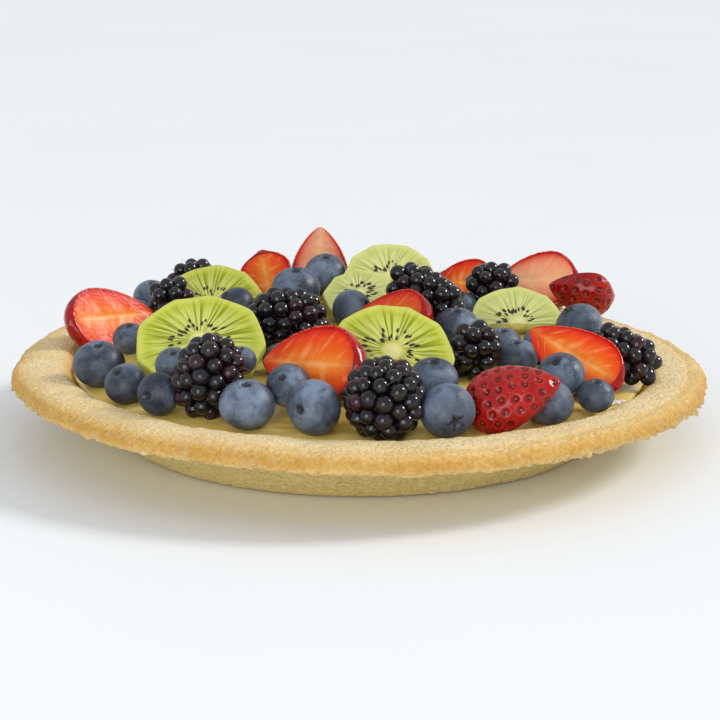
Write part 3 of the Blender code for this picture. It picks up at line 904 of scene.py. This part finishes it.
class Look:
    """A material, with short names for the nodes that these looks are made of."""

    def __init__(self, name, **settings):
        self.material = bpy.data.materials.new(name)
        self.material.use_nodes = True
        self.tree = self.material.node_tree
        self.shader = self.tree.nodes["Principled BSDF"]
        for socket, value in settings.items():
            self.shader.inputs[socket.replace("_", " ").title()].default_value = value

    def node(self, kind, inputs=(), **settings):
        node = self.tree.nodes.new(kind)
        for key, value in settings.items():
            setattr(node, key, value)
        for key, value in inputs:
            if isinstance(value, bpy.types.NodeSocket):
                self.tree.links.new(value, node.inputs[key])
            else:
                node.inputs[key].default_value = value
        return node

    def vector(self, name):
        return self.node("ShaderNodeAttribute", attribute_name=name).outputs["Vector"]

    def parts(self, vector):
        return self.node("ShaderNodeSeparateXYZ", (("Vector", vector),)).outputs

    def noise(self, vector, scale, detail=3.0, distortion=0.0):
        inputs = (("Vector", vector), ("Scale", scale), ("Detail", detail),
                  ("Distortion", distortion))
        return self.node("ShaderNodeTexNoise", inputs).outputs["Fac"]

    def ramp(self, value, *stops):
        """Colours or greys along a value; a stop is (place, colour or grey)."""
        node = self.node("ShaderNodeValToRGB", (("Fac", value),))
        elements = node.color_ramp.elements
        while len(elements) < len(stops):
            elements.new(0.5)
        for element, (place, colour) in zip(elements, stops):
            element.position = place
            grey = isinstance(colour, (int, float))
            element.color = (colour, colour, colour, 1) if grey else colour
        return node.outputs["Color"]

    def maths(self, operation, first, second=0.0):
        inputs = ((0, first), (1, second))
        return self.node("ShaderNodeMath", inputs, operation=operation).outputs[0]

    def mix(self, amount, first, second):
        node = self.node("ShaderNodeMix", data_type="RGBA")
        for socket, value in ((0, amount), (6, first), (7, second)):
            if isinstance(value, bpy.types.NodeSocket):
                self.tree.links.new(value, node.inputs[socket])
            else:
                node.inputs[socket].default_value = value
        return node.outputs[2]

    def tint(self, colour, other, amount, share):
        """Mixes another colour in, by that share of amount."""
        return self.mix(self.maths("MULTIPLY", amount, share), colour, other)

    def stretched(self, vector, scale):
        inputs = ((0, vector), (1, scale))
        return self.node("ShaderNodeVectorMath", inputs, operation="MULTIPLY").outputs[0]

    def finish(self, colour, roughness=None, bump=None, distance=0.0003, strength=0.5):
        self.tree.links.new(colour, self.shader.inputs["Base Color"])
        if roughness is not None:
            self.tree.links.new(roughness, self.shader.inputs["Roughness"])
        if bump is not None:
            inputs = (("Height", bump), ("Distance", distance), ("Strength", strength))
            node = self.node("ShaderNodeBump", inputs)
            self.tree.links.new(node.outputs["Normal"], self.shader.inputs["Normal"])
        return self.material


def blueberry_look():
    look = Look("blueberry_skin")
    look.shader.inputs["Specular IOR Level"].default_value = 0.35
    local, mark = look.vector("local"), look.parts(look.vector("mark"))
    bloom = look.noise(local, 0.11, 4, 0.8)
    bloom = look.maths("ADD", bloom, look.maths("MULTIPLY", mark[2], 0.24))
    bloom = look.ramp(bloom, (0.44, 0.0), (0.74, 1.0))
    scuffs = look.ramp(look.noise(local, 0.25, 6, 1.0), (0.5, 0.0), (0.7, 1.0))
    # painted shade: broad dark patches, spread at random, stand in for the shaded undersides of
    # the berries
    shade = look.ramp(look.noise(local, 0.06, 2), (0.42, 1.0), (0.6, 0.0))
    specks = look.ramp(look.noise(local, 1.8, 3), (0.35, 0.0), (0.7, 1.0))
    colour = look.mix(bloom, srgb(32, 40, 56), srgb(112, 128, 150))
    colour = look.tint(colour, srgb(142, 156, 176), specks, 0.3)
    colour = look.tint(colour, srgb(38, 40, 50), shade, 0.6)
    colour = look.tint(colour, srgb(28, 32, 44), scuffs, 0.55)
    colour = look.tint(colour, srgb(40, 44, 56), mark[1], 0.5)
    colour = look.tint(colour, srgb(34, 30, 34), mark[0], 0.9)
    roughness = look.ramp(bloom, (0.0, 0.3), (1.0, 0.5))
    return look.finish(colour, roughness, specks, 0.0001, 0.4)


def bramble_looks():
    beads = Look("bramble_drupelets", roughness=0.1)
    local, mark = beads.vector("local"), beads.parts(beads.vector("mark"))
    tint = beads.ramp(mark[0], (0.0, srgb(12, 11, 15)), (0.8, srgb(24, 19, 26)),
                      (1.0, srgb(48, 18, 28)))
    smudge = beads.ramp(beads.noise(local, 0.35, 3), (0.5, 0.0), (0.75, 0.4))
    colour = beads.mix(smudge, tint, srgb(36, 30, 33))
    # painted shade: the core under the drupelets, seen only in the gaps, is painted near black
    colour = beads.mix(mark[1], colour, srgb(10, 7, 9))
    beads.finish(colour, bump=beads.noise(local, 0.6, 2), distance=0.00012, strength=0.4)
    hairs = Look("bramble_hairs", roughness=0.6)
    hairs.finish(hairs.ramp(hairs.noise(hairs.vector("local"), 0.5), (0.3, srgb(120, 78, 54)),
                            (0.7, srgb(190, 150, 110))))
    return [beads.material, hairs.material]


def kiwi_looks(pale):
    """Flesh and seeds; pale, from 0 to 1, takes the flesh towards its whitest."""
    flesh = Look("kiwi_flesh", roughness=0.28)
    flesh.shader.inputs["Specular IOR Level"].default_value = 0.22
    local, mark = flesh.vector("local"), flesh.vector("mark")
    part = flesh.parts(mark)[0]
    blotch = flesh.noise(local, 0.1, 4)
    wobble = flesh.maths("ADD", part, flesh.maths("MULTIPLY", blotch, 0.1))
    colour = flesh.ramp(wobble, (0.05, srgb(232, 224, 160)), (0.2, srgb(216, 210, 124)),
                        (0.28, srgb(144, 152, 34)), (0.55, srgb(142, 154, 18)),
                        (0.9, srgb(164, 174, 30)), (1.06, srgb(194, 198, 84)))
    broad = flesh.noise(flesh.stretched(mark, (0.5, 7.0, 7.0)), 1.0, 2, 0.1)
    fine = flesh.noise(flesh.stretched(mark, (0.9, 22.0, 22.0)), 1.0, 2, 0.1)
    rays = flesh.ramp(flesh.maths("ADD", broad, fine), (0.9, 0.0), (1.16, 1.0))
    gaps = flesh.ramp(flesh.maths("ADD", broad, fine), (0.8, 1.0), (0.96, 0.0))
    within = flesh.ramp(part, (0.14, 0.0), (0.26, 1.0), (0.62, 0.75), (0.95, 0.12))
    shown = flesh.maths("MULTIPLY", rays, within)
    colour = flesh.tint(colour, srgb(226, 228, 132), shown, 0.75)
    shown = flesh.maths("MULTIPLY", gaps, within)
    colour = flesh.tint(colour, srgb(96, 110, 12), shown, 0.7)
    colour = flesh.mix(pale, colour, srgb(230, 232, 176))
    flesh.finish(colour, bump=flesh.noise(local, 0.7, 3), distance=0.0003, strength=0.5)
    seeds = Look("kiwi_seeds", roughness=0.3)
    seeds.finish(seeds.ramp(seeds.noise(seeds.vector("local"), 0.6), (0.3, srgb(30, 18, 14)),
                            (0.8, srgb(70, 40, 32))))
    return [flesh.material, seeds.material]


def strawberry_looks(pale):
    skin = Look("strawberry_skin")
    skin.shader.inputs["Specular IOR Level"].default_value = 0.36
    local, mark = skin.vector("local"), skin.parts(skin.vector("mark"))
    colour = skin.ramp(skin.noise(local, 0.12, 4), (0.3, srgb(136, 0, 4)),
                       (0.7, srgb(176, 6, 6)))
    # painted highlight: the rims of the pits are painted a lighter red, as the glint on the
    # ridges between pits
    colour = skin.tint(colour, srgb(208, 66, 50), mark[1], 0.25)
    # painted shade: the skin is painted darker the deeper it lies in a pit
    colour = skin.tint(colour, srgb(84, 4, 8), mark[0], 0.85)
    roughness = skin.ramp(skin.noise(local, 0.5), (0.3, 0.09), (0.7, 0.2))
    skin.finish(colour, roughness, skin.noise(local, 1.2, 3), 0.0001, 0.4)
    seeds = Look("strawberry_seeds", roughness=0.4)
    seeds.finish(seeds.ramp(seeds.noise(seeds.vector("local"), 0.4), (0.3, srgb(120, 50, 26)),
                            (0.7, srgb(160, 90, 46))))
    return [skin.material, cut_strawberry_look(pale), seeds.material]


def cut_strawberry_look(pale):
    """Red by the skin, orange flesh with pale fibres, and a cream core along the middle."""
    look = Look("strawberry_cut", roughness=0.3)
    look.shader.inputs["Specular IOR Level"].default_value = 0.2
    local, mark = look.vector("local"), look.vector("mark")
    parts = look.parts(mark)
    across, along = parts[0], parts[1]
    wobble = look.maths("ADD", across, look.maths("MULTIPLY", look.noise(local, 0.2, 3), 0.2))
    colour = look.ramp(wobble, (0.06, srgb(248, 180, 104)), (0.2, srgb(244, 132, 40)),
                       (0.45, srgb(236, 98, 12)), (0.8, srgb(232, 66, 10)),
                       (1.02, srgb(208, 20, 8)), (1.08, srgb(176, 8, 8)))
    end = look.ramp(along, (0.0, 1.0), (0.2, 0.0), (0.7, 0.0), (0.98, 1.0))
    colour = look.tint(colour, srgb(206, 44, 16), end, 0.75)
    fibres = look.noise(look.stretched(mark, (1.3, 13.0, 3.0)), 1.0, 3, 0.2)
    fibres = look.ramp(fibres, (0.5, 0.0), (0.7, 1.0))
    within = look.ramp(across, (0.06, 0.3), (0.25, 1.0), (0.7, 0.5), (0.92, 0.0))
    shown = look.maths("MULTIPLY", look.maths("MULTIPLY", fibres, within), 0.5)
    colour = look.mix(shown, colour, srgb(252, 190, 130))
    inner = look.ramp(across, (0.0, pale), (0.6, pale * 0.7), (0.92, 0.0))
    colour = look.mix(inner, colour, srgb(255, 216, 176))
    return look.finish(colour, bump=look.noise(local, 0.8, 3), distance=0.0003, strength=0.5)


def crust_look():
    look = Look("baked_pastry")
    local, mark = look.vector("local"), look.parts(look.vector("mark"))
    patches = look.noise(local, 0.045, 5, 0.5)
    blots = look.noise(local, 0.22, 5, 0.4)
    grain = look.noise(local, 0.8, 7, 0.2)
    amount = look.maths("ADD", mark[0], look.maths("MULTIPLY", patches, 0.55))
    amount = look.maths("ADD", amount, look.maths("MULTIPLY", blots, 0.4))
    amount = look.maths("ADD", amount, look.maths("MULTIPLY", grain, 0.8))
    amount = look.maths("SUBTRACT", amount, 0.87)
    colour = look.ramp(amount, (0.0, srgb(244, 224, 178)), (0.35, srgb(236, 206, 144)),
                       (0.7, srgb(222, 180, 98)), (1.0, srgb(206, 154, 66)))
    khaki = look.ramp(grain, (0.3, srgb(220, 194, 116)), (0.7, srgb(240, 220, 150)))
    colour = look.mix(mark[1], colour, khaki)
    flour = look.ramp(blots, (0.55, 0.0), (0.72, 1.0))
    colour = look.tint(colour, srgb(242, 228, 192), flour, 0.3)
    specks = look.ramp(look.noise(local, 1.1, 4), (0.56, 0.0), (0.68, 1.0))
    colour = look.tint(colour, srgb(184, 134, 66), specks, 0.4)
    roughness = look.ramp(grain, (0.2, 0.6), (0.8, 0.85))
    return look.finish(colour, roughness, grain, 0.0022, 0.8)


def custard_look():
    look = Look("custard", roughness=0.32, coat_weight=0.1, subsurface_weight=0.1)
    look.shader.inputs["Subsurface Scale"].default_value = 0.003
    local = look.vector("local")
    colour = look.ramp(look.noise(local, 0.07, 5, 0.5), (0.3, srgb(240, 202, 98)),
                       (0.7, srgb(252, 224, 132)))
    return look.finish(colour, bump=look.noise(local, 0.4, 4), distance=0.0004, strength=0.4)


def cream_look():
    look = Look("cream", roughness=0.4)
    colour = look.ramp(look.noise(look.vector("local"), 0.4), (0.3, srgb(236, 226, 204)),
                       (0.7, srgb(250, 246, 234)))
    return look.finish(colour)


# -------- studio

# The camera looks along +Y from the front and a little above
CAMERA_AIM = Vector((0.0003, 0.0, 0.0238))
CAMERA_DISTANCE = 0.70
CAMERA_ELEVATION = radians(14.2)
CAMERA_ROLL = radians(0.2)
CAMERA_LENS = 99.6
KEY_ELEVATION = radians(36)
KEY_TURN = radians(76)      # from the back, to the right
KEY_POWER = 1.8
KEY_ANGLE = radians(16)
FRONT_PLACE = (-0.4, -1.6, 0.45)
FRONT_SIZE = 1.0
FRONT_POWER = 11.5
SKY_STRENGTH = 0.7
FLOOR_SIZE = 30.0


def camera_place():
    back = Vector((0, -cos(CAMERA_ELEVATION), sin(CAMERA_ELEVATION)))
    return CAMERA_AIM + back * CAMERA_DISTANCE


def make_floor():
    bpy.ops.mesh.primitive_plane_add(size=FLOOR_SIZE, location=(0, 0, 0))
    floor = bpy.context.object
    floor.name = "floor"
    look = Look("floor", roughness=0.6)
    local = look.node("ShaderNodeTexCoord").outputs["Object"]
    shade = look.ramp(look.noise(local, 3.0), (0.3, srgb(234, 237, 240)),
                      (0.7, srgb(237, 240, 242)))
    floor.data.materials.append(look.finish(shade))


def make_camera():
    data = bpy.data.cameras.new("camera")
    data.sensor_width = 36.0
    data.lens = CAMERA_LENS
    data.clip_end = 100.0
    camera = link("camera", data)
    ahead = CAMERA_AIM - camera_place()
    turn = ahead.to_track_quat("-Z", "Y").to_matrix() @ Matrix.Rotation(CAMERA_ROLL, 3, "Z")
    camera.matrix_world = Matrix.Translation(camera_place()) @ turn.to_4x4()
    bpy.context.scene.camera = camera


def add_light(name, kind, power, matrix):
    data = bpy.data.lights.new(name, kind)
    data.energy = power
    link(name, data).matrix_world = matrix
    return data


def make_key_light():
    """A soft sun from the right and a little behind."""
    across = cos(KEY_ELEVATION)
    back = Vector((sin(KEY_TURN) * across, cos(KEY_TURN) * across, sin(KEY_ELEVATION)))
    matrix = (-back).to_track_quat("-Z", "Y").to_matrix().to_4x4()
    data = add_light("key", "SUN", KEY_POWER, matrix)
    data.angle = KEY_ANGLE
    data.color = (1.0, 0.985, 0.96)


def make_front_light():
    """A square soft light low at the front, turned to the tart, that lifts the shadows."""
    way = Vector((0, 0, 0.02)) - Vector(FRONT_PLACE)
    turn = way.to_track_quat("-Z", "Y").to_matrix().to_4x4()
    data = add_light("front", "AREA", FRONT_POWER, Matrix.Translation(FRONT_PLACE) @ turn)
    data.size = FRONT_SIZE


def make_studio():
    make_floor()
    make_camera()
    make_key_light()
    make_front_light()
    world = bpy.data.worlds.new("world")
    world.use_nodes = True
    background = world.node_tree.nodes["Background"]
    background.inputs["Color"].default_value = srgb(250, 252, 255)
    background.inputs["Strength"].default_value = SKY_STRENGTH
    bpy.context.scene.world = world
    bpy.context.scene.view_settings.view_transform = "Standard"


# -------- making it all

def main():
    blueberry, brambles, pastry = blueberry_look(), bramble_looks(), crust_look()
    kiwis = {True: kiwi_looks(0.35), False: kiwi_looks(0.0)}
    strawberries = {True: strawberry_looks(0.55), False: strawberry_looks(0.0)}
    makers = {
        "blueberry": lambda name: make_blueberry(name, blueberry),
        "bramble": lambda name: make_bramble(name, brambles),
        "kiwi_slice": lambda name: make_kiwi(name, kiwis[number_of(name) in PALE_KIWIS]),
        "strawberry_half": lambda name: make_strawberry(
            name, strawberries[number_of(name) in PALE_STRAWBERRIES]),
    }
    for name in sorted(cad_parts):
        if kind_of(name) in makers:
            makers[kind_of(name)](name)
    make_crust(pastry)
    make_crumbs(pastry)
    make_custard(custard_look())
    make_dabs(cream_look())
    make_further_toppings(blueberry, brambles)
    make_studio()


main()
